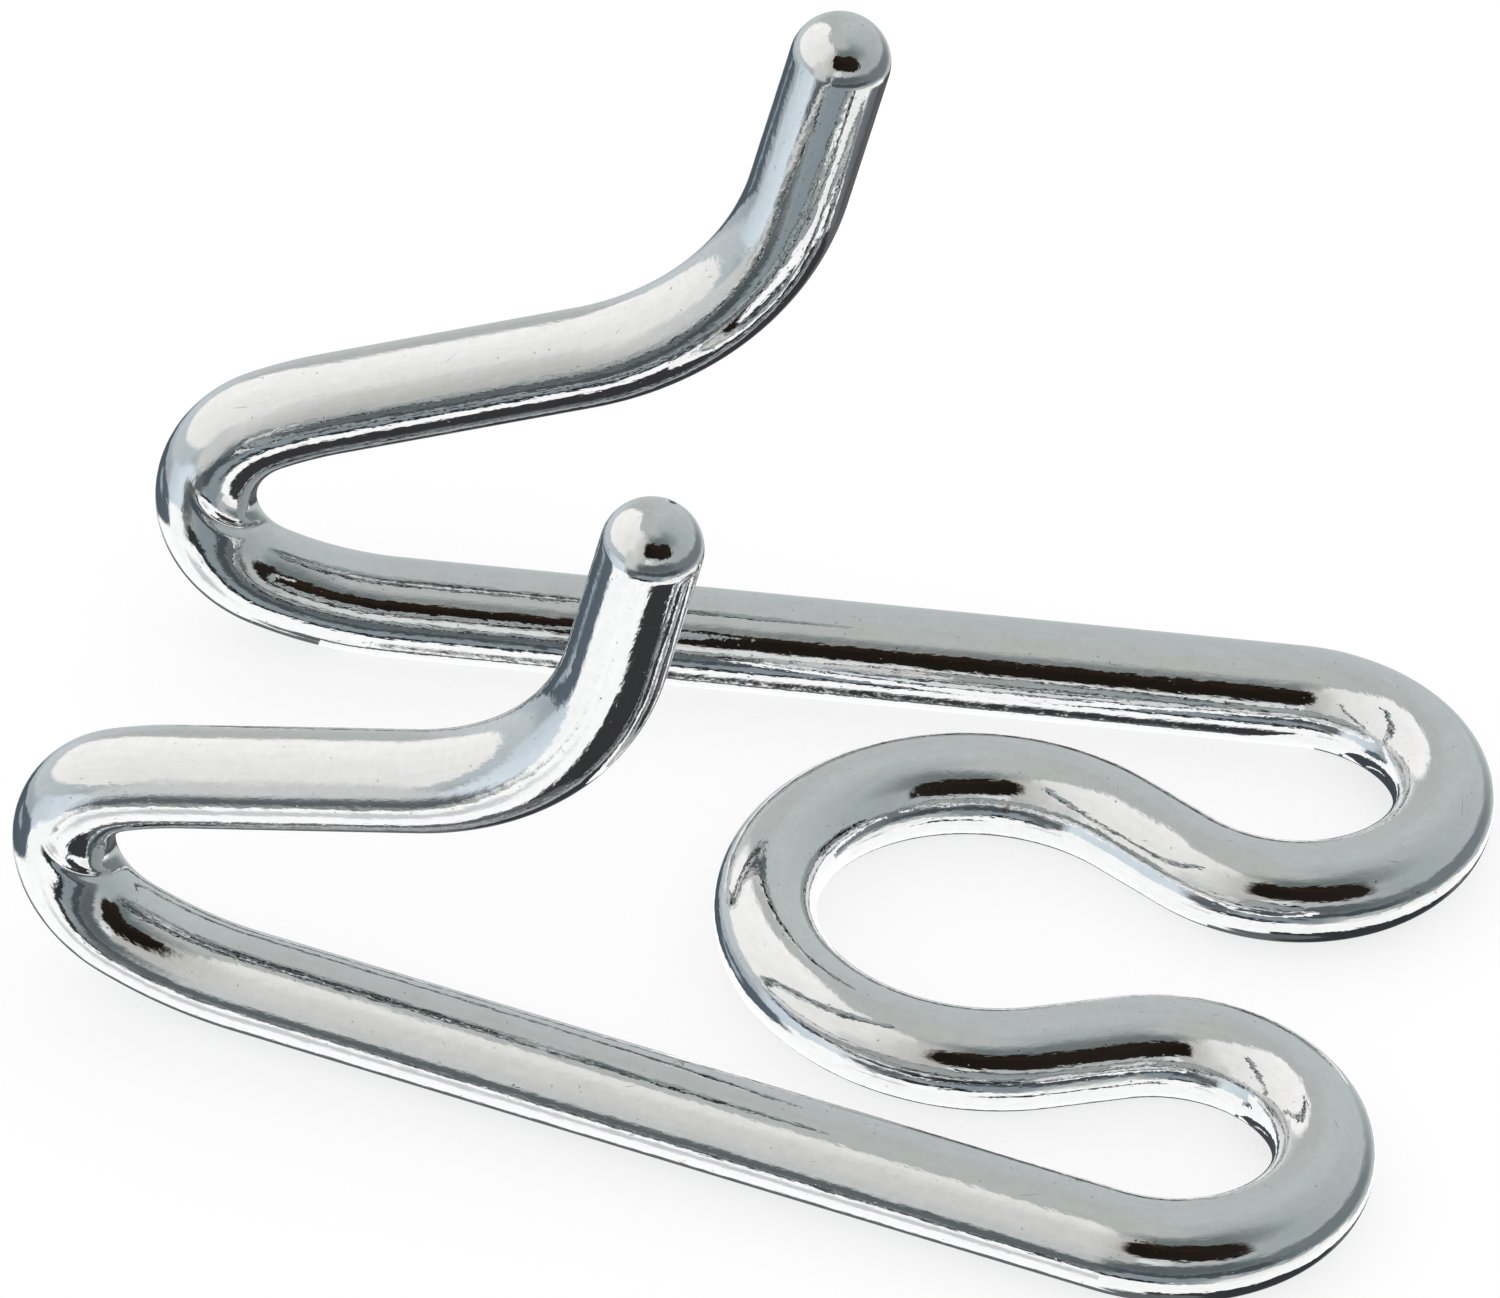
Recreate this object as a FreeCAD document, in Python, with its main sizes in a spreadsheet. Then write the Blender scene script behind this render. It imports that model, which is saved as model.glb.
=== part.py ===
import FreeCAD, Part
import math
import os
from enum import IntEnum, auto

import Sketcher
from FreeCAD import Placement, Rotation, Vector

# A prong-collar link: one length of round steel wire, bent to shape and chrome plated.
# The wire lies flat in a base shaped like an omega: a bulb in the middle, a neck and an eye on
# each side of it, and a straight leg back from each eye. Each leg ends in a hook that turns up
# and over the leg, and the wire then bends up once more into a blunt prong.
# The link is symmetric about the XZ plane, so the half with positive Y is modelled and mirrored.
# +X points from the hooks to the eyes and +Z up along the prongs; the base rests on Z = 0.

# Lengths and radii are in millimetres, to the middle of the wire, and angles in degrees.
SIZES = {
    "wire_diameter": 4.0,  # round wire, the same all along
    "bulb_radius": 8.5,  # bulb in the middle of the base
    "neck_length": 3.3,  # straight stretch between the bulb and an eye
    "neck_angle": 28.0,  # how far a neck closes in towards the middle
    "eye_radius": 6.15,  # eye that takes the next link's hook
    "leg_length": 35.8,  # straight leg from an eye to its hook
    "leg_angle": 8.5,  # how far a leg closes in towards its hook
    "flare_angle": 3.0,  # how far a hook leans outwards about its leg
    "entry_radius": 15.0,  # gentle bend from the leg up into the hook
    "entry_angle": 20.0,
    "hook_radius": 4.1,  # tight bend of the hook, which seats the next link's wire
    "hook_angle": 132.0,
    "exit_radius": 18.0,  # gentle bend out of the hook into the return run
    "exit_angle": 9.0,
    "return_length": 10.3,  # straight run back over the leg
    "prong_bend_radius": 12.0,  # bend from the return run up into the prong
    "prong_angle": 60.0,
    "prong_length": 6.2,  # straight prong, as far as its blunt end
    "tip_flattening": 0.05,  # how much lower than a half ball of the wire's size the blunt end is
    "tip_edge_inset": 0.2,  # how much smaller than the wire's radius its rounded edge is
}


class Axis(IntEnum):
    """A sketch's own numbers for its two axes."""

    X = -1
    Y = -2


class Point(IntEnum):
    """A sketch's own numbers for the points of an edge."""

    START = auto()
    END = auto()
    CENTRE = auto()


def write_sheet(document):
    """Write each size and its alias into the sheet that every expression reads."""
    sheet = document.addObject("Spreadsheet::Sheet", "Sizes")
    for row, (name, value) in enumerate(SIZES.items(), start=1):
        sheet.set(f"A{row}", name)
        sheet.set(f"B{row}", str(value))
        sheet.setAlias(f"B{row}", name)
    document.recompute()


def add_sketch(body, name, plane, shift, turn="rotationz(0)"):
    """Add a sketch on one of the body's planes, shifted and turned in that plane's own axes."""
    sketch = body.newObject("Sketcher::SketchObject", name)
    support = next(item for item in body.Origin.OriginFeatures if item.Role == plane)
    sketch.AttachmentSupport = [(support, "")]
    sketch.MapMode = "FlatFace"
    sketch.setExpression("AttachmentOffset", f"placement(vector({shift}); {turn})")
    return sketch


def limit(sketch, kind, *where):
    """Add a constraint and return its number."""
    return sketch.addConstraint(Sketcher.Constraint(kind, *where))


def bind(sketch, kind, edge, name, value, formula):
    """Drive a length, radius or angle of an edge by a formula of the sheet's values."""
    number = limit(sketch, kind, edge, value)
    sketch.renameConstraint(number, name)
    sketch.setExpression(f"Constraints.{name}", formula)


def measure(sketch, kind, name, *where):
    """Add a named dimension that reads the finished sketch and drives nothing."""
    number = limit(sketch, kind, *where, 1.0)
    sketch.renameConstraint(number, name)
    sketch.setDriving(number, False)


class WirePath:
    """The middle line of the wire in a sketch: straights and arcs, each tangent to the last."""

    def __init__(self, sketch, heading):
        self.sketch = sketch
        self.heading = math.radians(heading)
        self.tip = Vector(0, 0, 0)
        self.loose_end = None

    def join(self, edge, near, far):
        """Join an edge's near end to the path, tangent to it, and carry on from the far end."""
        if self.loose_end is None:
            limit(self.sketch, "Coincident", edge, near, Axis.X, Point.START)
        else:
            limit(self.sketch, "Tangent", *self.loose_end, edge, near)
        self.loose_end = (edge, far)

    def straight(self, length):
        """Go straight on for a length named in the sheet."""
        start = self.tip
        ahead = Vector(math.cos(self.heading), math.sin(self.heading), 0)
        self.tip = start + ahead * SIZES[length]
        edge = self.sketch.addGeometry(Part.LineSegment(start, self.tip))
        self.join(edge, Point.START, Point.END)
        bind(self.sketch, "Distance", edge, length, SIZES[length], f"Sizes.{length}")
        return edge

    def bend(self, radius, turn):
        """Bend by turn degrees, to the left if positive, at a radius named in the sheet."""
        side = math.copysign(1, turn)
        across = Vector(-math.sin(self.heading), math.cos(self.heading), 0) * side
        centre = self.tip + across * SIZES[radius]
        begin = self.heading - side * math.pi / 2
        finish = begin + math.radians(turn)
        circle = Part.Circle(centre, Vector(0, 0, 1), SIZES[radius])
        edge = self.sketch.addGeometry(Part.ArcOfCircle(circle, min(begin, finish), max(begin, finish)))
        self.tip = centre + Vector(math.cos(finish), math.sin(finish), 0) * SIZES[radius]
        self.heading += math.radians(turn)
        self.join(edge, *((Point.START, Point.END) if turn > 0 else (Point.END, Point.START)))
        bind(self.sketch, "Radius", edge, radius, SIZES[radius], f"Sizes.{radius}")
        return edge


def add_section(body, name, plane, shift, turn="rotationz(0)"):
    """Add the wire's round section, centred on its sketch's origin."""
    sketch = add_sketch(body, name, plane, shift, turn)
    diameter = SIZES["wire_diameter"]
    circle = sketch.addGeometry(Part.Circle(Vector(0, 0, 0), Vector(0, 0, 1), diameter / 2))
    limit(sketch, "Coincident", circle, Point.CENTRE, Axis.X, Point.START)
    bind(sketch, "Diameter", circle, "wire_diameter", diameter, "Sizes.wire_diameter")
    return sketch


def sweep(body, name, section, path):
    """Sweep the wire's section along its middle line."""
    pipe = body.newObject("PartDesign::AdditivePipe", name)
    pipe.Profile = section
    pipe.Spine = (path, [])
    return pipe


def draw_base(body):
    """Half of the flat base: bulb, neck, eye and leg, drawn from the bulb's apex."""
    sketch = add_sketch(body, "base_path", "XY_Plane", "0; 0; Sizes.wire_diameter / 2")
    neck_angle, leg_angle = SIZES["neck_angle"], SIZES["leg_angle"]
    path = WirePath(sketch, 90)
    bulb = path.bend("bulb_radius", -90 - neck_angle)
    limit(sketch, "PointOnObject", bulb, Point.CENTRE, Axis.X)
    neck = path.straight("neck_length")
    bind(sketch, "Angle", neck, "neck_angle", path.heading, "-Sizes.neck_angle")
    path.bend("eye_radius", 180 + neck_angle + leg_angle)
    leg = path.straight("leg_length")
    bind(sketch, "Angle", leg, "leg_angle", path.heading, "180 + Sizes.leg_angle")
    measure(sketch, "DistanceX", "end_x", Axis.X, Point.START, leg, Point.END)
    measure(sketch, "DistanceY", "end_y", Axis.X, Point.START, leg, Point.END)
    return sketch


def draw_arm(body, shift, turn):
    """Hook, return run and prong, in the upright plane through the leg, from the leg's end."""
    sketch = add_sketch(body, "arm_path", "XZ_Plane", shift, turn)
    path = WirePath(sketch, 180)
    for bend in ("entry", "hook", "exit"):
        radius, angle = f"{bend}_radius", f"{bend}_angle"
        edge = path.bend(radius, -SIZES[angle])
        if bend == "entry":
            limit(sketch, "PointOnObject", edge, Point.CENTRE, Axis.Y)
        bind(sketch, "Angle", edge, angle, math.radians(SIZES[angle]), f"Sizes.{angle}")
    path.straight("return_length")
    edge = path.bend("prong_bend_radius", SIZES["prong_angle"])
    bind(sketch, "Angle", edge, "prong_angle", math.radians(SIZES["prong_angle"]), "Sizes.prong_angle")
    prong = path.straight("prong_length")
    measure(sketch, "DistanceX", "end_x", Axis.X, Point.START, prong, Point.END)
    measure(sketch, "DistanceY", "end_y", Axis.X, Point.START, prong, Point.END)
    measure(sketch, "Angle", "end_angle", prong)
    return sketch


def draw_tip(body, shift, turn):
    """Half of the blunt end's outline, with the prong's axis as the sketch's Y axis."""
    sketch = add_sketch(body, "tip_outline", "XZ_Plane", shift, turn)
    radius, flat = SIZES["wire_diameter"] / 2, SIZES["tip_edge_inset"]
    height, edge_radius = radius - SIZES["tip_flattening"], radius - flat
    # The dome runs into the rounded edge with no corner, which settles the dome's own radius.
    dome_radius = (flat**2 + height**2 - edge_radius**2) / (2 * (height - edge_radius))
    dome_centre = Vector(0, height - dome_radius, 0)
    meeting = math.atan2(dome_radius - height, flat)
    rim, apex = Vector(radius, 0, 0), Vector(0, height, 0)
    normal = Vector(0, 0, 1)
    base = sketch.addGeometry(Part.LineSegment(Vector(0, 0, 0), rim))
    edge_circle = Part.Circle(Vector(flat, 0, 0), normal, edge_radius)
    edge = sketch.addGeometry(Part.ArcOfCircle(edge_circle, 0, meeting))
    dome_circle = Part.Circle(dome_centre, normal, dome_radius)
    dome = sketch.addGeometry(Part.ArcOfCircle(dome_circle, meeting, math.pi / 2))
    axis = sketch.addGeometry(Part.LineSegment(apex, Vector(0, 0, 0)))
    limit(sketch, "Coincident", base, Point.START, Axis.X, Point.START)
    limit(sketch, "Horizontal", base)
    limit(sketch, "Coincident", base, Point.END, edge, Point.START)
    limit(sketch, "PointOnObject", edge, Point.CENTRE, Axis.X)
    limit(sketch, "Tangent", edge, Point.END, dome, Point.START)
    limit(sketch, "PointOnObject", dome, Point.CENTRE, Axis.Y)
    limit(sketch, "Coincident", dome, Point.END, axis, Point.START)
    limit(sketch, "Coincident", axis, Point.END, Axis.X, Point.START)
    limit(sketch, "Vertical", axis)
    full = "Sizes.wire_diameter / 2"
    bind(sketch, "Distance", base, "wire_radius", radius, full)
    bind(sketch, "Radius", edge, "edge_radius", edge_radius, f"{full} - Sizes.tip_edge_inset")
    bind(sketch, "Distance", axis, "height", height, f"{full} - Sizes.tip_flattening")
    return sketch


def build_link(document):
    """The whole link as one body: base, arm and tip of one half, then the mirrored other half."""
    body = document.addObject("PartDesign::Body", "Link")
    body.Label = "link_wire"
    middle = "Sizes.wire_diameter / 2"

    base_path = draw_base(body)
    base_section = add_section(body, "base_section", "XZ_Plane", f"0; {middle}; 0")
    base = sweep(body, "base_wire", base_section, base_path)

    # The arm starts at the leg's end. Its plane stands over the leg and leans outwards with it.
    leg_x, leg_y = "base_path.Constraints.end_x", "base_path.Constraints.end_y"
    start = f"{leg_x}; {middle}; -{leg_y}"
    lean = "rotationy(Sizes.leg_angle) * rotationx(-Sizes.flare_angle)"
    arm_path = draw_arm(body, start, lean)
    arm_section = add_section(
        body, "arm_section", "YZ_Plane", f"{leg_y}; {middle}; {leg_x}", "rotationy(Sizes.leg_angle)"
    )
    arm = sweep(body, "arm_wire", arm_section, arm_path)

    end = "vector(arm_path.Constraints.end_x; arm_path.Constraints.end_y; 0)"
    upright = "rotationz(arm_path.Constraints.end_angle - 90 deg)"
    tip_outline = draw_tip(body, start, lean)
    tip_outline.setExpression(
        "AttachmentOffset", f"placement(vector({start}); {lean}) * placement({end}; {upright})"
    )
    tip = body.newObject("PartDesign::Revolution", "tip_dome")
    tip.Profile = tip_outline
    tip.ReferenceAxis = (tip_outline, ["V_Axis"])
    tip.Angle = 360

    whole = body.newObject("PartDesign::Mirrored", "whole_wire")
    whole.Originals = [base, arm, tip]
    mirror_plane = next(item for item in body.Origin.OriginFeatures if item.Role == "XZ_Plane")
    whole.MirrorPlane = (mirror_plane, [""])
    body.Tip = whole
    return body


def check(document, body):
    """Stop before anything is written if an object failed or the wire isn't one valid solid."""
    for item in document.Objects:
        if "Invalid" in item.State or "Error" in item.State:
            raise RuntimeError(f"{item.Name} failed: {item.State}")
        if item.isDerivedFrom("Sketcher::SketchObject") and not item.FullyConstrained:
            raise RuntimeError(f"{item.Name} has sizes that nothing sets")
    if body.Shape.isNull() or not body.Shape.isValid() or len(body.Shape.Solids) != 1:
        raise RuntimeError(f"{body.Label} isn't one valid solid")


def wire_length(document):
    """Length of the middle line, without the two blunt ends."""
    paths = (document.getObject(name) for name in ("base_path", "arm_path"))
    return 2 * sum(path.Shape.Length for path in paths)


document = FreeCAD.newDocument("collar_link")
write_sheet(document)
link = build_link(document)
document.recompute()
check(document, link)

# The origin goes under the middle of the link's box, on the surface that it stands on.
box = link.Shape.optimalBoundingBox(False, False)
link.Placement = Placement(Vector(-box.Center.x, 0, 0), Rotation())

section_area = math.pi * (SIZES["wire_diameter"] / 2) ** 2
print(f"{link.Label}: {box.XLength:.2f} x {box.YLength:.2f} x {box.ZLength:.2f} mm")
print(f"wire length {wire_length(document):.2f} mm, volume {link.Shape.Volume:.1f} mm3")
print(f"section times length {section_area * wire_length(document):.1f} mm3")

os.makedirs("parts", exist_ok=True)
link.Shape.exportStep(f"parts/{link.Label}.step")
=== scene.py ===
import math

import bpy
import numpy as np
from mathutils import Matrix, Vector


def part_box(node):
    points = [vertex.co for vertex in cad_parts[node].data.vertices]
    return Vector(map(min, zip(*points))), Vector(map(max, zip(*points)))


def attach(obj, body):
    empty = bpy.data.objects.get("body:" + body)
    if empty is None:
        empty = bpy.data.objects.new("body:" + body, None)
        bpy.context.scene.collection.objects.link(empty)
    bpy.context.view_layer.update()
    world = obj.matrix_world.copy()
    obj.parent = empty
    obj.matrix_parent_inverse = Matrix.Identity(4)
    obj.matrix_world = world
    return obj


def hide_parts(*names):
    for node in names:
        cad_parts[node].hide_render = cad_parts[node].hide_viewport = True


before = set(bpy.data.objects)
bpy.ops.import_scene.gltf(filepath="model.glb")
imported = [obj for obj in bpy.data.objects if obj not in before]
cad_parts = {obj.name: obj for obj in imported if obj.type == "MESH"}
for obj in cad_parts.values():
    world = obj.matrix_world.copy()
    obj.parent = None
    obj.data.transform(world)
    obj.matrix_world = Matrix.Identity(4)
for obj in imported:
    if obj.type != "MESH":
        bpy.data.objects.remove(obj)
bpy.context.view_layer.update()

MM = 0.001
NODE = "link_wire"
UP = np.array([0.0, 0.0, 1.0])
MIRROR = np.array([1.0, -1.0, 1.0])  # takes the far half of the wire to the near one

# ---------------------------------------------------------------- the wire's sizes, as in part.py
# Millimetres and degrees. A bend is its radius and its angle about the axis of its own plane.
WIRE_RADIUS = 2.0
BULB = (8.5, -118.0)
NECK_LENGTH = 3.3
EYE = (6.15, 216.5)
LEG_LENGTH = 35.8
LEAN = 3.0
ENTRY = (15.0, -20.0)
HOOK = (4.1, -132.0)
EXIT = (18.0, -9.0)
RETURN_LENGTH = 10.3
PRONG_BEND = (12.0, 60.0)
PRONG_LENGTH = 6.2
TIP_HEIGHT = 1.95
TIP_EDGE = 1.8

# The fold pinched into the inside of each hook is a crease with a raised lip beside it. It runs
# slantwise round the wire and fades away from its deepest side. Places are millimetres along the
# wire from the bulb's apex, sides are radians round it, and the slant is millimetres per radian.
FOLD_PLACE = {"far": 87.5, "near": 87.7}
FOLD_DEPTH = {"far": 0.16, "near": 0.09}
FOLD_SLANT = 2.0
FOLD_SIDE = 0.9
FOLD_FADE = 0.75
CREASE_WIDTH = 0.32
LIP_OFFSET = 0.75
LIP_WIDTH = 0.55
LIP_SHARE = 0.45  # the lip's height as a share of the crease's depth

# ---------------------------------------------------------------- painted reflection and shade papers on the table
# Each paper runs along the wire: from and to which length, and then how far its two edges lie from
# the wire's middle line at its start and at its end, in millimetres. Lengths count from the bulb's
# apex. A positive distance lies outside the bulb, inside an eye and on the inner side of a leg.
# The white papers glow and show only in the chrome: a painted reflection of the lit white table
# beside the wire.
PAINTED_REFLECTION_PAPERS = {
    "both": ((0.0, 22.6, (-3.2, -1.2), (-3.2, -1.2)), (22.4, 44.1, (-3.9, -2.45), (-3.9, -2.45))),
    "near": (
        (0.0, 26.2, (1.2, 3.2), (1.2, 3.2)),
        (26.2, 27.2, (1.2, 1.7), (1.2, 1.2)),
        (31.0, 44.1, (1.2, 3.2), (1.2, 3.2)),
    ),
    "far": (
        (0.0, 34.0, (1.2, 3.2), (1.2, 3.2)),
        (40.4, 41.7, (1.2, 1.2), (1.2, 1.8)),
        (41.7, 43.1, (1.2, 3.2), (1.2, 3.2)),
        (42.9, 45.9, (0.4, 3.2), (0.4, 1.9)),
        (45.7, 83.0, (0.4, 1.9), (0.4, 1.9)),
    ),
}
# The dark papers glow dark grey and show only in the chrome: painted shade on the table inside the
# eyes.
PAINTED_SHADE_PAPERS = {
    "both": (),
    "near": ((26.2, 27.2, (1.7, 3.6), (1.2, 4.6)), (27.2, 31.0, (1.2, 4.6), (1.2, 4.6))),
    "far": ((34.0, 40.4, (1.2, 4.6), (1.2, 4.6)), (40.4, 41.7, (1.2, 4.6), (1.8, 3.4))),
}
# the glowing white of the painted reflection of the lit table
PAINTED_REFLECTION_PAPER = (250, 252, 252)
# the dark grey of the painted shade on the table
PAINTED_SHADE_PAPER = (62, 68, 74)
PAPER_HEIGHT = -0.01

# ---------------------------------------------------------------- the table and the camera
TABLE_HALF = 2.0  # metres
TABLE_HEIGHT = -0.02  # millimetres, just under the wire
TABLE_GREY = 0.30
TABLE_OWN_WHITE = 0.72  # the share of the table's white that no shadow takes away

# Millimetres and degrees. The camera stands far off. Its angles are azimuth, elevation and roll.
CAMERA_AIM = (-0.604, -1.281, 14.201)
CAMERA_ANGLES = (10.296, 38.492, 4.478)
CAMERA_DISTANCE = 897.0
CAMERA_LENS = 556.4
SENSOR_WIDTH = 36
CAMERA_REACH = 10  # metres

# ---------------------------------------------------------------- the chrome
# Colours are scene colours. Stretches slow a pattern down along the wire, scales count per
# millimetre and depths are millimetres. A range is where a noise goes from none to all of its
# effect. Scattered marks stand in cells: a cell holds one where its random number is above the
# given one, and the mark's edge lies between two distances from the cell's point.
CHROME = (0.74, 0.75, 0.755)
DULL_CHROME = (0.67, 0.67, 0.665)
DIRT = (0.16, 0.15, 0.14)
STAIN = (0.30, 0.24, 0.15)
PER_METRE = (1000, 1000, 1000)
DRAWN_STRETCH = (0.12, 1, 1)
PEEL_STRETCH = (0.5, 1, 1)
GRAIN_STRETCH = (0.3, 1, 1)
WAVES_SCALE, RIPPLE_SCALE, GRAIN_SCALE = 0.8, 3.2, 4.6
WAVES_DEPTH, RIPPLE_DEPTH, GRAIN_DEPTH = 0.010, 0.0085, 0.0060
PITS_SCALE, PITS_ABOVE, PITS_DEPTH = 1.9, 0.66, -0.004
PITS_EDGE = (0.13, 0.03)
SCRATCH_SLANTS = ((0.42, 3.0), (-0.30, 11.0))  # a slant in radians, and where its pattern starts
SCRATCH_TILT = 0.4
SCRATCH_STRETCH = (0.16, 4.2, 4.2)
SCRATCH_ABOVE, SCRATCH_DEPTH = 0.86, -0.003
SCRATCH_EDGE = (0.17, 0.04)
STREAKS_SCALE, STREAKS_SHARE, STREAKS_RANGE = 4.5, 0.45, (0.35, 0.65)
CLOUDS_SCALE, CLOUDS_SHARE, CLOUDS_RANGE = 2.2, 0.55, (0.35, 0.68)
DIRT_IN_PITS, DIRT_IN_SCRATCHES = 0.5, 0.35
STAINS_SCALE, STAINS_ABOVE, STAINS_SHARE = 0.42, 0.80, 0.7
STAINS_EDGE = (0.12, 0.06)
TEAR_SCALE, TEAR = 4.0, (0.9, 0.9, 0.9)  # what makes the stains' edges ragged
ROUGH_SCALE, ROUGH_RANGE = 1.6, (0.35, 0.7)
ROUGH_LOW, ROUGH_HIGH, ROUGH_IN_DIRT = 0.03, 0.07, 0.3

# ---------------------------------------------------------------- the studio's panels
# What the chrome reflects, by direction, with each panel laid over those before it: its name, its
# middle and half size in degrees of azimuth and elevation, the screen colours in which the chrome
# shows its left and right end, how many degrees it rises from its middle to its right end, and how
# soft its edge is. Azimuth 0 is the camera's side, negative Y, and 90 is positive X. A panel's
# right end is the one of higher azimuth. A panel 400 degrees wide each way goes all the way round.
WALLS = (177, 182, 181)
ROUND = 400
PANELS = (
    ("ceiling", (0, 90), (ROUND, 20), (179, 184, 182), (179, 184, 182), 0, 0.5),
    ("right wall", (122, 25), (64, 55), (152, 162, 164), (186, 194, 195), 0, 0.4),
    ("above dark", (34, 49), (46, 16), (104, 113, 113), (112, 121, 121), 0, 0.6),
    ("under softbox", (-95, -6), (56, 14), (196, 203, 206), (176, 186, 191), 0, 0.3),
    ("horizon", (58, -15), (100, 13), (98, 106, 110), (118, 126, 130), 0, 0.25),
    ("horizon left", (-125, -23), (40, 8), (180, 190, 196), (150, 160, 167), 0, 0.4),
    ("softbox", (-79, 33), (62, 32), (247, 247, 247), (222, 223, 220), 3, 0.06),
    ("softbox side", (-30, 3), (15, 19), (203, 206, 205), (194, 198, 197), 0, 0.3),
    ("softbox shade", (-14, 33), (20, 24), (216, 217, 216), (165, 164, 159), 0, 0.4),
    ("dark", (26, 32), (35, 17), (26, 22, 18), (38, 33, 28), -4, 0.1),
    ("brown", (24, 41), (20, 2.6), (48, 34, 23), (44, 32, 25), -4, 0.8),
    ("glint", (9, 10), (9, 5), (226, 230, 230), (200, 206, 206), 0, 0.3),
    ("front low", (24, -5), (36, 8), (88, 96, 98), (92, 100, 104), 0, 0.4),
    ("front line", (26, -21), (50, 5), (72, 80, 84), (70, 77, 82), 0, 0.3),
    ("front dark", (-30, -28), (17, 7), (88, 94, 98), (96, 101, 104), 0, 0.6),
    ("front blue", (14, -32), (24, 7), (134, 146, 153), (130, 142, 148), 0, 0.35),
    ("blue band", (-62, -22), (22, 12), (192, 205, 214), (216, 228, 236), 0, 0.25),
    ("floor", (0, -72), (ROUND, 31), (253, 255, 255), (253, 255, 255), 0, 0.03),
    ("floor shade", (-35, -54.5), (14, 6), (203, 206, 209), (203, 206, 209), 0, 0.5),
    ("floor line", (-8, -37.5), (22, 2.6), (50, 53, 55), (38, 42, 44), 0, 0.3),
    ("floor left", (-62, -38), (26, 7), (250, 252, 253), (250, 252, 253), 0, 0.15),
    ("blue dark", (-115, -33), (39, 10), (70, 81, 89), (90, 102, 112), -2, 0.1),
    ("blue streak", (-112, -30), (8, 2.5), (150, 164, 172), (150, 164, 172), -2, 0.5),
    ("right glow", (88, -38), (42, 5), (236, 238, 237), (246, 248, 247), 2, 0.12),
    ("right grey", (122, -45), (28, 5.5), (112, 118, 122), (84, 89, 93), 0, 0.3),
    ("rim", (168, -42), (36, 7), (68, 72, 75), (78, 83, 88), 0, 0.15),
    ("behind low", (180, -62), (48, 21), (92, 94, 96), (98, 100, 102), 0, 0.15),
    ("charcoal", (95, -74.5), (93, 26), (54, 54, 57), (50, 53, 56), 0, 0.04),
    ("nadir", (0, -90), (ROUND, 11), (96, 99, 101), (96, 99, 101), 0, 0.15),
)

# ---------------------------------------------------------------- how finely the wire is divided
STEP = 0.2  # millimetres along the wire from ring to ring
FINE_STEP = 0.07  # the same in the hooks, for their folds
AROUND = 128  # points of a ring
EDGE_RINGS = 8
DOME_RINGS = 20


def add_object(name, data):
    thing = bpy.data.objects.new(name, data)
    bpy.context.scene.collection.objects.link(thing)
    return thing


def add_mesh_object(name, points, faces):
    """An object of the given points, in metres, and faces."""
    mesh = bpy.data.meshes.new(name)
    mesh.from_pydata(points, [], faces)
    return add_object(name, mesh)


def add_material(name):
    material = bpy.data.materials.new(name)
    material.use_nodes = True
    return material


def turn_about(axis, angle):
    """Matrix of a turn about an axis, in radians."""
    x, y, z = axis
    k = np.array([[0, -z, y], [z, 0, -x], [-y, x, 0]])
    return np.eye(3) + math.sin(angle) * k + (1 - math.cos(angle)) * (k @ k)


class HalfWire:
    """Middle line of the half with positive Y, from the bulb's apex to the prong's end."""

    def __init__(self):
        self.here = np.array([0.0, 0.0, WIRE_RADIUS])
        self.ahead = np.array([0.0, 1.0, 0.0])
        self.rest = UP  # a line across the wire that is carried along without twist
        self.axis = UP
        self.gone = 0.0
        self.rows = [(self.here, self.ahead, self.rest, self.gone)]

    def straight(self, length):
        count = max(2, round(length / STEP))
        for i in range(1, count + 1):
            run = length * i / count
            self.rows.append((self.here + self.ahead * run, self.ahead, self.rest, self.gone + run))
        self.here = self.here + self.ahead * length
        self.gone += length

    def bend(self, radius, angle, step=STEP):
        length = math.radians(abs(angle)) * radius
        count = max(4, round(length / step))
        out = np.cross(self.axis, self.ahead) * -math.copysign(1, angle)
        centre = self.here - out * radius
        for i in range(1, count + 1):
            turn = turn_about(self.axis, math.radians(angle) * i / count)
            row = (centre + turn @ out * radius, turn @ self.ahead, turn @ self.rest)
            self.rows.append((*row, self.gone + length * i / count))
        self.here, self.ahead, self.rest, self.gone = self.rows[-1]

    def stand_up(self, lean):
        """Carry on in the plane that stands over the wire and leans outwards."""
        back = -self.ahead
        outwards = np.cross(UP, back)
        outwards *= math.copysign(1, outwards[1])
        rise = UP * math.cos(math.radians(lean)) + outwards * math.sin(math.radians(lean))
        self.axis = np.cross(back, rise)


def tip_profile():
    """Height and radius of the blunt end's rings, from the prong's end almost to the dome's top."""
    flat = WIRE_RADIUS - TIP_EDGE
    dome = (flat**2 + TIP_HEIGHT**2 - TIP_EDGE**2) / (2 * (TIP_HEIGHT - TIP_EDGE))
    meeting = math.atan2(dome - TIP_HEIGHT, flat)
    rings = []
    for i in range(1, EDGE_RINGS + 1):
        a = meeting * i / EDGE_RINGS
        rings.append((TIP_EDGE * math.sin(a), flat + TIP_EDGE * math.cos(a)))
    centre = TIP_HEIGHT - dome
    for i in range(1, DOME_RINGS):
        a = meeting + (math.pi / 2 - meeting) * i / DOME_RINGS
        rings.append((centre + dome * math.sin(a), dome * math.cos(a)))
    return rings


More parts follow.
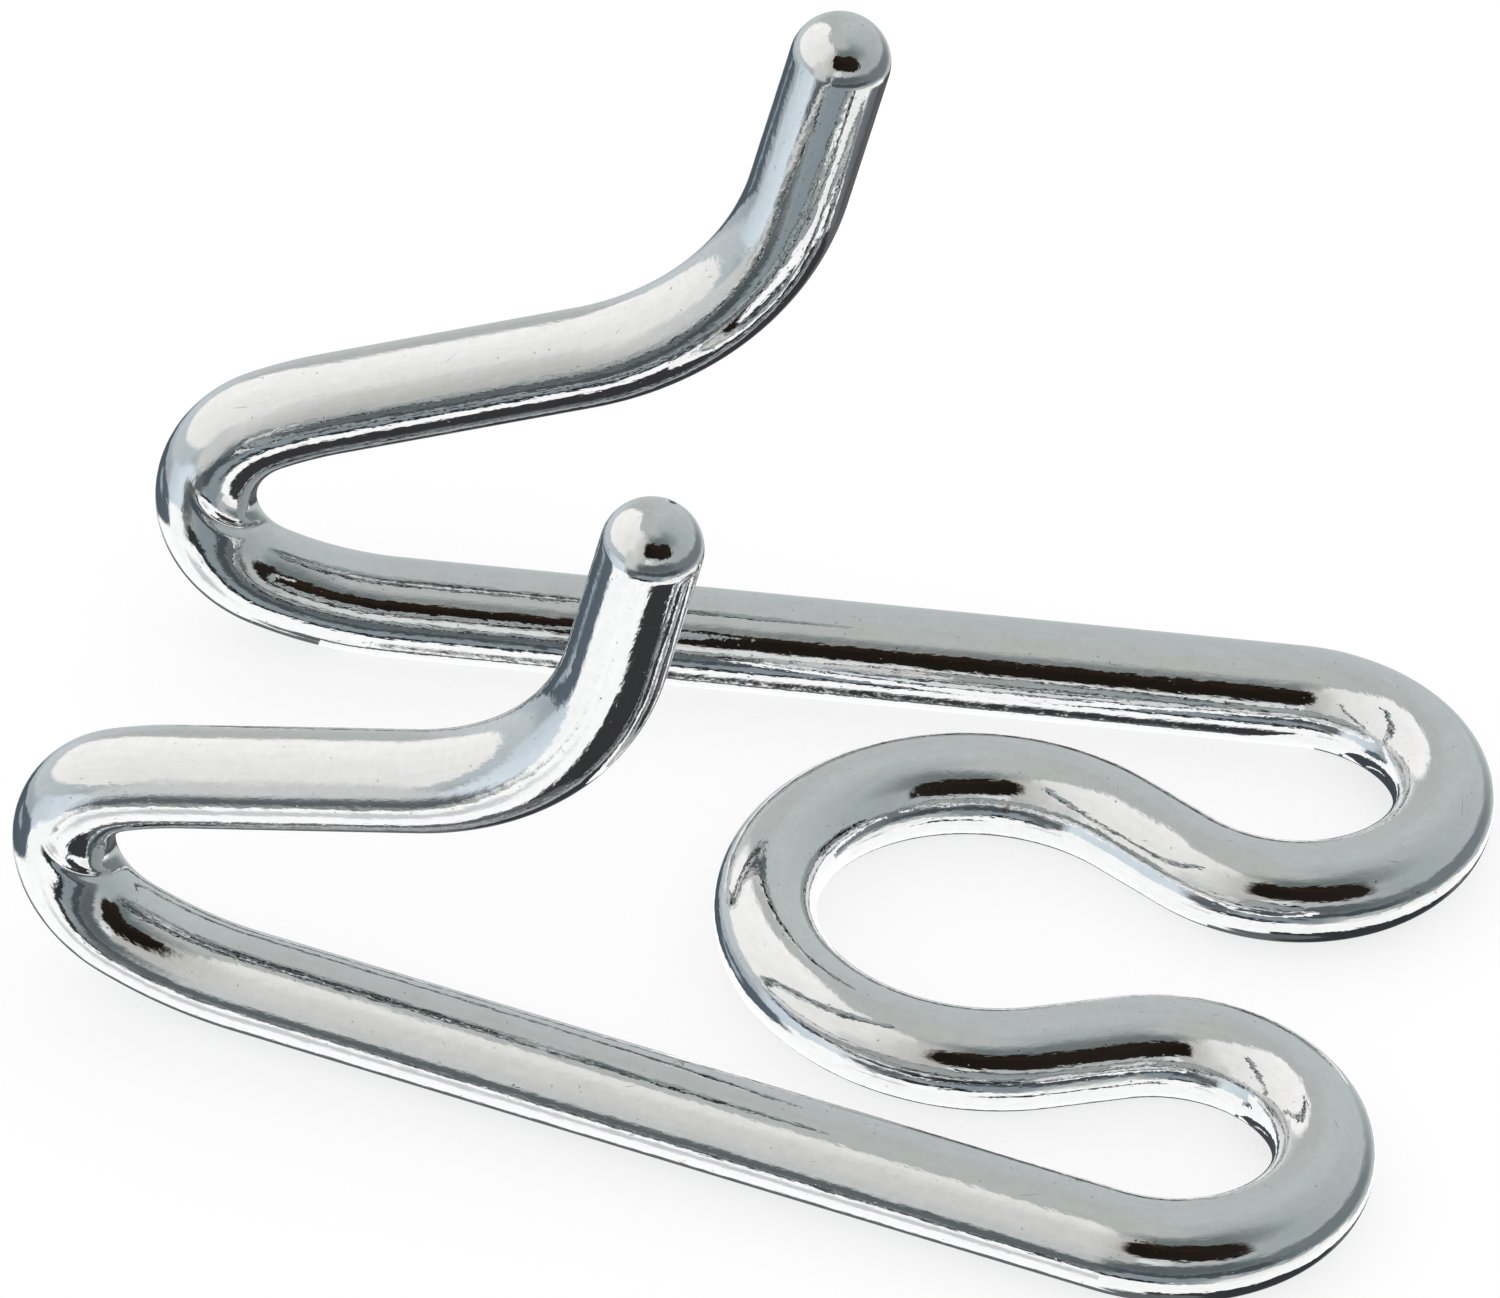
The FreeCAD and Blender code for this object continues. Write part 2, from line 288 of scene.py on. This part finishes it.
def wire_rows():
    """The far half's rings from the bulb's apex to the prong's top, that top and the length to it.

    A ring is its centre, the wire's direction, a line across it, the length so far and the radius.
    """
    half = HalfWire()
    half.bend(*BULB)
    half.straight(NECK_LENGTH)
    half.bend(*EYE)
    half.straight(LEG_LENGTH)
    half.stand_up(LEAN)
    half.bend(*ENTRY)
    half.bend(*HOOK, step=FINE_STEP)
    half.bend(*EXIT)
    half.straight(RETURN_LENGTH)
    half.bend(*PRONG_BEND)
    half.straight(PRONG_LENGTH)
    rows = [(*row, WIRE_RADIUS) for row in half.rows]
    end, ahead, across, gone, _ = rows[-1]
    for height, radius in tip_profile():
        rows.append((end + ahead * height, ahead, across, gone + height, radius))
    apex = end + ahead * TIP_HEIGHT
    return rows, apex, gone + TIP_HEIGHT


def fold(gone, turns):
    """How far the hook's fold lifts the skin over the plain round wire at each turn of a ring."""
    around = (turns + math.pi) % (2 * math.pi) - math.pi
    # both folds lean towards negative Y
    half, side = ("far", -around) if gone > 0 else ("near", around)
    along = abs(gone) - FOLD_PLACE[half] - FOLD_SLANT * side
    share = np.exp(-(((side - FOLD_SIDE) / FOLD_FADE) ** 2))
    crease = -np.exp(-((along / CREASE_WIDTH) ** 2))
    lip = LIP_SHARE * np.exp(-(((along - LIP_OFFSET) / LIP_WIDTH) ** 2))
    return FOLD_DEPTH[half] * share * (crease + lip)


def box_middle_shift(points):
    """How far along X the wire moves to sit in its CAD node's box."""
    low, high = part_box(NODE)
    return (low[0] + high[0]) / 2 / MM - (points[:, 0].min() + points[:, 0].max()) / 2


def build_wire():
    """The wire as one closed skin, and how far it was shifted along X."""
    rows, apex, far = wire_rows()
    # the mirrored half runs the other way, so its directions turn round
    other = [(p * MIRROR, -t * MIRROR, a * MIRROR, -g, r) for p, t, a, g, r in rows[:0:-1]]
    rings = other + rows
    turns = np.arange(AROUND) / AROUND * 2 * math.pi
    points, straight = [], []
    for centre, ahead, across, gone, radius in rings:
        side = np.cross(ahead, across)
        out = np.outer(np.cos(turns), across) + np.outer(np.sin(turns), side)
        points.append(centre + out * (radius + fold(gone, turns))[:, None])
        flat = np.full((AROUND, 3), gone)
        flat[:, 1] = np.cos(turns) * radius
        flat[:, 2] = np.sin(turns) * radius
        straight.append(flat)
    points = np.concatenate(points + [[apex * MIRROR], [apex]])
    straight = np.concatenate(straight + [[[-far, 0, 0]], [[far, 0, 0]]])
    shift = box_middle_shift(points)
    points[:, 0] += shift
    count = len(rings)
    i, j = np.meshgrid(np.arange(count - 1), np.arange(AROUND), indexing="ij")
    k = (j + 1) % AROUND
    quads = [i * AROUND + j, i * AROUND + k, (i + 1) * AROUND + k, (i + 1) * AROUND + j]
    faces = np.stack(quads, -1).reshape(-1, 4).tolist()
    first, last = count * AROUND, count * AROUND + 1
    for j in range(AROUND):
        k = (j + 1) % AROUND
        faces.append([first, k, j])
        faces.append([last, (count - 1) * AROUND + j, (count - 1) * AROUND + k])
    wire = add_mesh_object("wire", (points * MM).tolist(), faces)
    mesh = wire.data
    mesh.polygons.foreach_set("use_smooth", [True] * len(mesh.polygons))
    # where each point lies on the wire when it is straightened, for the marks that run along it
    layer = mesh.attributes.new("straight", "FLOAT_VECTOR", "POINT")
    layer.data.foreach_set("vector", (straight * MM).astype(np.float32).ravel())
    mesh.update()
    return wire, shift


class Nodes:
    """Short calls for one tree's nodes. A value may be a number, a colour or a node's output."""

    def __init__(self, tree):
        self.tree = tree

    def put(self, value, socket):
        if isinstance(value, bpy.types.NodeSocket):
            self.tree.links.new(value, socket)
        elif isinstance(value, tuple) and len(value) == 3 and socket.type == "RGBA":
            socket.default_value = (*value, 1)
        else:
            socket.default_value = value

    def add(self, kind, inputs=None, **settings):
        node = self.tree.nodes.new(kind)
        for name, value in settings.items():
            setattr(node, name, value)
        for name, value in (inputs or {}).items():
            self.put(value, node.inputs[name])
        return node

    def math(self, operation, *values, clamp=False):
        node = self.add("ShaderNodeMath", operation=operation, use_clamp=clamp)
        for value, socket in zip(values, node.inputs):
            self.put(value, socket)
        return node.outputs[0]

    def vector(self, operation, *values):
        node = self.add("ShaderNodeVectorMath", operation=operation)
        for value, socket in zip(values, node.inputs):
            self.put(value, socket)
        return node.outputs[0]

    def ramp(self, value, start, end, low=0.0, high=1.0, kind="SMOOTHSTEP"):
        """From low to high as the value goes from start to end, flat outside."""
        inputs = {"Value": value, "From Min": start, "From Max": end, "To Min": low, "To Max": high}
        return self.add("ShaderNodeMapRange", inputs, interpolation_type=kind).outputs[0]

    def mix(self, share, under, over):
        node = self.add("ShaderNodeMix", data_type="RGBA")
        # the colour sockets of a Mix node are its seventh and eighth
        for value, place in ((share, 0), (under, 6), (over, 7)):
            self.put(value, node.inputs[place])
        return node.outputs[2]

    def noise(self, where, scale, detail=2.0, roughness=0.5):
        inputs = {"Vector": where, "Scale": scale, "Detail": detail, "Roughness": roughness}
        return self.add("ShaderNodeTexNoise", inputs).outputs["Fac"]

    def cells(self, where, scale):
        """Distance to the nearest of many scattered points, and a random colour of that point."""
        node = self.add("ShaderNodeTexVoronoi", {"Vector": where, "Scale": scale})
        return node.outputs["Distance"], node.outputs["Color"]

    def above(self, colour, channel, least):
        """1 where the colour's channel is above a value, elsewhere 0."""
        parts = self.add("ShaderNodeSeparateColor", {0: colour}).outputs
        return self.math("GREATER_THAN", parts[channel], least)


def linear(colour):
    """Scene colour of a screen colour given in steps of 0 to 255, by the sRGB curve."""
    return tuple(((c / 255 + 0.055) / 1.055) ** 2.4 if c > 10 else c / 255 / 12.92 for c in colour)


def reflected(colour):
    """Strength a panel needs for the chrome to show it in this screen colour."""
    return tuple(c / base for c, base in zip(linear(colour), CHROME))


def chrome():
    """Chrome over drawn wire: faint orange peel, drawing marks, pits, scratches and few stains."""
    material = add_material("chrome")
    n = Nodes(material.node_tree)
    shader = material.node_tree.nodes["Principled BSDF"]
    shader.inputs["Metallic"].default_value = 1
    attribute = n.add("ShaderNodeAttribute", attribute_name="straight").outputs["Vector"]
    wire = n.vector("MULTIPLY", attribute, PER_METRE)
    drawn = n.vector("MULTIPLY", wire, DRAWN_STRETCH)
    peel = n.vector("MULTIPLY", wire, PEEL_STRETCH)

    waves = n.noise(peel, WAVES_SCALE, detail=1)
    ripple = n.noise(peel, RIPPLE_SCALE)
    grain = n.noise(n.vector("MULTIPLY", wire, GRAIN_STRETCH), GRAIN_SCALE, roughness=0.55)
    # pits are small scattered dents
    near, pick = n.cells(wire, PITS_SCALE)
    pit = n.math("MULTIPLY", n.ramp(near, *PITS_EDGE), n.above(pick, 0, PITS_ABOVE))
    # scratches are long thin cells in two slanting directions
    scratches = []
    for slant, start in SCRATCH_SLANTS:
        turn = (SCRATCH_TILT, slant, slant)
        inputs = {"Vector": wire, "Location": (start, start, 0), "Rotation": turn}
        turned = n.add("ShaderNodeMapping", inputs).outputs[0]
        near, pick = n.cells(n.vector("MULTIPLY", turned, SCRATCH_STRETCH), 1.0)
        chosen = n.above(pick, 1, SCRATCH_ABOVE)
        scratches.append(n.math("MULTIPLY", n.ramp(near, *SCRATCH_EDGE), chosen))
    scratch = n.math("MAXIMUM", *scratches)

    height = n.math("MULTIPLY", waves, WAVES_DEPTH)
    relief = (
        (ripple, RIPPLE_DEPTH), (grain, GRAIN_DEPTH),
        (pit, PITS_DEPTH), (scratch, SCRATCH_DEPTH),
    )
    for part, depth in relief:
        height = n.math("MULTIPLY_ADD", part, depth, height)
    bump = n.add("ShaderNodeBump", {"Height": height, "Distance": MM, "Strength": 1.0})
    n.put(bump.outputs[0], shader.inputs["Normal"])

    # lengthwise streaks and clouds in the plate, and dark dirt in pits and scratches
    streak = n.ramp(n.noise(drawn, STREAKS_SCALE, 3, 0.65), *STREAKS_RANGE, kind="LINEAR")
    cloud = n.ramp(n.noise(wire, CLOUDS_SCALE, 4, 0.65), *CLOUDS_RANGE, kind="LINEAR")
    shade = n.math("MULTIPLY_ADD", streak, STREAKS_SHARE, n.math("MULTIPLY", cloud, CLOUDS_SHARE))
    colour = n.mix(shade, CHROME, DULL_CHROME)
    in_pits = n.math("MULTIPLY", pit, DIRT_IN_PITS)
    dirt = n.math("MAXIMUM", in_pits, n.math("MULTIPLY", scratch, DIRT_IN_SCRATCHES))
    colour = n.mix(dirt, colour, DIRT)
    # a few small brown stains, far apart
    torn = n.vector("ADD", wire, n.vector("MULTIPLY", n.noise(wire, TEAR_SCALE), TEAR))
    near, pick = n.cells(torn, STAINS_SCALE)
    stain = n.math("MULTIPLY", n.ramp(near, *STAINS_EDGE), n.above(pick, 2, STAINS_ABOVE))
    colour = n.mix(n.math("MULTIPLY", stain, STAINS_SHARE), colour, STAIN)
    n.put(colour, shader.inputs["Base Color"])
    rough = n.ramp(n.noise(peel, ROUGH_SCALE, 3), *ROUGH_RANGE, ROUGH_LOW, ROUGH_HIGH, "LINEAR")
    n.put(n.math("MULTIPLY_ADD", dirt, ROUGH_IN_DIRT, rough), shader.inputs["Roughness"])
    return material


def panel_group():
    """Node group that lays one panel with soft, rounded edges over the light behind it."""
    tree = bpy.data.node_groups.new("panel", "ShaderNodeTree")
    place = ("Azimuth", "Elevation", "Middle Azimuth", "Middle Elevation")
    for name in place + ("Half Width", "Half Height", "Rise", "Soft"):
        tree.interface.new_socket(name, in_out="INPUT", socket_type="NodeSocketFloat")
    for name in ("Behind", "Left", "Right"):
        tree.interface.new_socket(name, in_out="INPUT", socket_type="NodeSocketColor")
    tree.interface.new_socket("Light", in_out="OUTPUT", socket_type="NodeSocketColor")
    n = Nodes(tree)
    given = n.add("NodeGroupInput").outputs
    x = n.math("WRAP", n.math("SUBTRACT", given["Azimuth"], given["Middle Azimuth"]), 180.0, -180.0)
    x = n.math("DIVIDE", x, given["Half Width"])
    y = n.math("SUBTRACT", given["Elevation"], given["Middle Elevation"])
    y = n.math("SUBTRACT", y, n.math("MULTIPLY", given["Rise"], x))
    y = n.math("DIVIDE", y, given["Half Height"])
    # a square with rounded corners: the fourth powers add up to 1 on its edge
    powers = [n.math("POWER", n.math("ABSOLUTE", side), 4.0) for side in (x, y)]
    edge = n.math("POWER", n.math("ADD", *powers), 0.25)
    share = n.ramp(edge, n.math("ADD", 1.0, given["Soft"]), n.math("SUBTRACT", 1.0, given["Soft"]))
    # 0 at the left end and 1 at the right end
    across = n.math("MULTIPLY_ADD", x, 0.5, 0.5, clamp=True)
    light = n.mix(share, given["Behind"], n.mix(across, given["Left"], given["Right"]))
    n.put(light, n.add("NodeGroupOutput").inputs[0])
    return tree


def light_studio():
    """A world that is white to the camera and the table, and shows the panels in reflections."""
    world = bpy.data.worlds.new("studio")
    world.use_nodes = True
    bpy.context.scene.world = world
    tree = world.node_tree
    n = Nodes(tree)
    group = panel_group()
    ray = n.add("ShaderNodeTexCoord").outputs["Generated"]
    parts = n.add("ShaderNodeSeparateXYZ", {0: ray}).outputs
    azimuth = n.math("DEGREES", n.math("ARCTAN2", parts["X"], n.math("MULTIPLY", parts["Y"], -1.0)))
    elevation = n.math("DEGREES", n.math("ARCSINE", parts["Z"]))
    light = reflected(WALLS)
    for name, middle, half, left, right, rise, soft in PANELS:
        inputs = {
            "Azimuth": azimuth, "Elevation": elevation,
            "Middle Azimuth": middle[0], "Middle Elevation": middle[1],
            "Half Width": half[0], "Half Height": half[1], "Rise": rise, "Soft": soft,
            "Behind": light, "Left": reflected(left), "Right": reflected(right),
        }
        node = n.add("ShaderNodeGroup", node_tree=group, label=name)
        for socket, value in inputs.items():
            n.put(value, node.inputs[socket])
        light = node.outputs[0]
    tree.nodes.remove(tree.nodes["Background"])
    white = n.add("ShaderNodeBackground", {"Color": (1.0, 1.0, 1.0)}).outputs[0]
    panels = n.add("ShaderNodeBackground", {"Color": light}).outputs[0]
    sharp = n.add("ShaderNodeLightPath").outputs["Is Glossy Ray"]
    both = n.add("ShaderNodeMixShader", {0: sharp, 1: white, 2: panels}).outputs[0]
    n.put(both, tree.nodes["World Output"].inputs["Surface"])
    world.cycles.sampling_method = "NONE"


def lay_table():
    """A white table. Part of its white is its own, so the wire's shadow on it stays faint."""
    half = TABLE_HALF
    outline = ((-half, -half), (half, -half), (half, half), (-half, half))
    corners = [(x, y, TABLE_HEIGHT * MM) for x, y in outline]
    table = add_mesh_object("floor", corners, [[0, 1, 2, 3]])
    material = add_material("white table")
    n = Nodes(material.node_tree)
    shader = material.node_tree.nodes["Principled BSDF"]
    shader.inputs["Base Color"].default_value = (TABLE_GREY, TABLE_GREY, TABLE_GREY, 1)
    shader.inputs["Roughness"].default_value = 1
    shader.inputs["Specular IOR Level"].default_value = 0
    shader.inputs["Emission Color"].default_value = (1, 1, 1, 1)
    seen = n.add("ShaderNodeLightPath").outputs["Is Camera Ray"]
    n.put(n.math("MULTIPLY", seen, TABLE_OWN_WHITE), shader.inputs["Emission Strength"])
    table.data.materials.append(material)
    # the chrome reflects the studio's panels there instead
    table.visible_glossy = False


def lay_painted_papers(name, papers, colour, shift):
    """Papers on the table along the wire, seen only in the chrome, in the given screen colour:
    glowing painted reflections of the lit table and painted shade on it.
    """
    rows = wire_rows()[0]
    points, faces = [], []
    for half, mirror in (("far", (1.0, 1.0)), ("near", (1.0, -1.0))):
        for first, last, begin, end in papers["both"] + papers[half]:
            part = [row for row in rows if first <= row[3] <= last]
            middle = np.array([row[0][:2] for row in part]) + (shift, 0)
            side = np.array([(-row[1][1], row[1][0]) for row in part])
            start, count = len(points), len(part)
            for edge in np.linspace(begin, end, count).T:
                points += [(*p, PAPER_HEIGHT) for p in (middle + side * edge[:, None]) * mirror]
            for i in range(start, start + count - 1):
                faces.append([i, i + 1, count + i + 1, count + i])
    sheet = add_mesh_object(name, (np.array(points) * MM).tolist(), faces)
    material = add_material(name)
    material.node_tree.nodes.clear()
    n = Nodes(material.node_tree)
    # the papers glow in their colour: the white ones as a painted reflection of the lit table, the
    # dark ones as painted shade on it
    glow = n.add("ShaderNodeEmission", {"Color": reflected(colour), "Strength": 1.0})
    n.put(glow.outputs[0], n.add("ShaderNodeOutputMaterial").inputs["Surface"])
    sheet.data.materials.append(material)
    sheet.visible_camera = False
    sheet.visible_diffuse = False
    sheet.visible_shadow = False


def place_camera():
    azimuth, elevation, roll = (math.radians(angle) for angle in CAMERA_ANGLES)
    level = math.cos(elevation)
    back = Vector((math.sin(azimuth) * level, -math.cos(azimuth) * level, math.sin(elevation)))
    right = (-back).cross(Vector((0, 0, 1))).normalized()
    up = right.cross(-back)
    c, s = math.cos(roll), math.sin(roll)
    turned = Matrix((right * c + up * s, up * c - right * s, back)).transposed().to_4x4()
    camera = add_object("camera", bpy.data.cameras.new("camera"))
    stand = (Vector(CAMERA_AIM) + back * CAMERA_DISTANCE) * MM
    camera.matrix_world = Matrix.Translation(stand) @ turned
    camera.data.lens = CAMERA_LENS
    camera.data.sensor_width = SENSOR_WIDTH
    camera.data.clip_end = CAMERA_REACH
    bpy.context.scene.camera = camera


wire, shift = build_wire()
wire.data.materials.append(chrome())
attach(wire, "root")
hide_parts(NODE)
place_camera()
light_studio()
lay_table()
# painted reflections of the lit table beside the wire, and painted shade on the table inside the
# eyes, seen only in the chrome
lay_painted_papers("painted reflection papers", PAINTED_REFLECTION_PAPERS, PAINTED_REFLECTION_PAPER, shift)
lay_painted_papers("painted shade papers", PAINTED_SHADE_PAPERS, PAINTED_SHADE_PAPER, shift)
bpy.context.scene.view_settings.view_transform = "Standard"
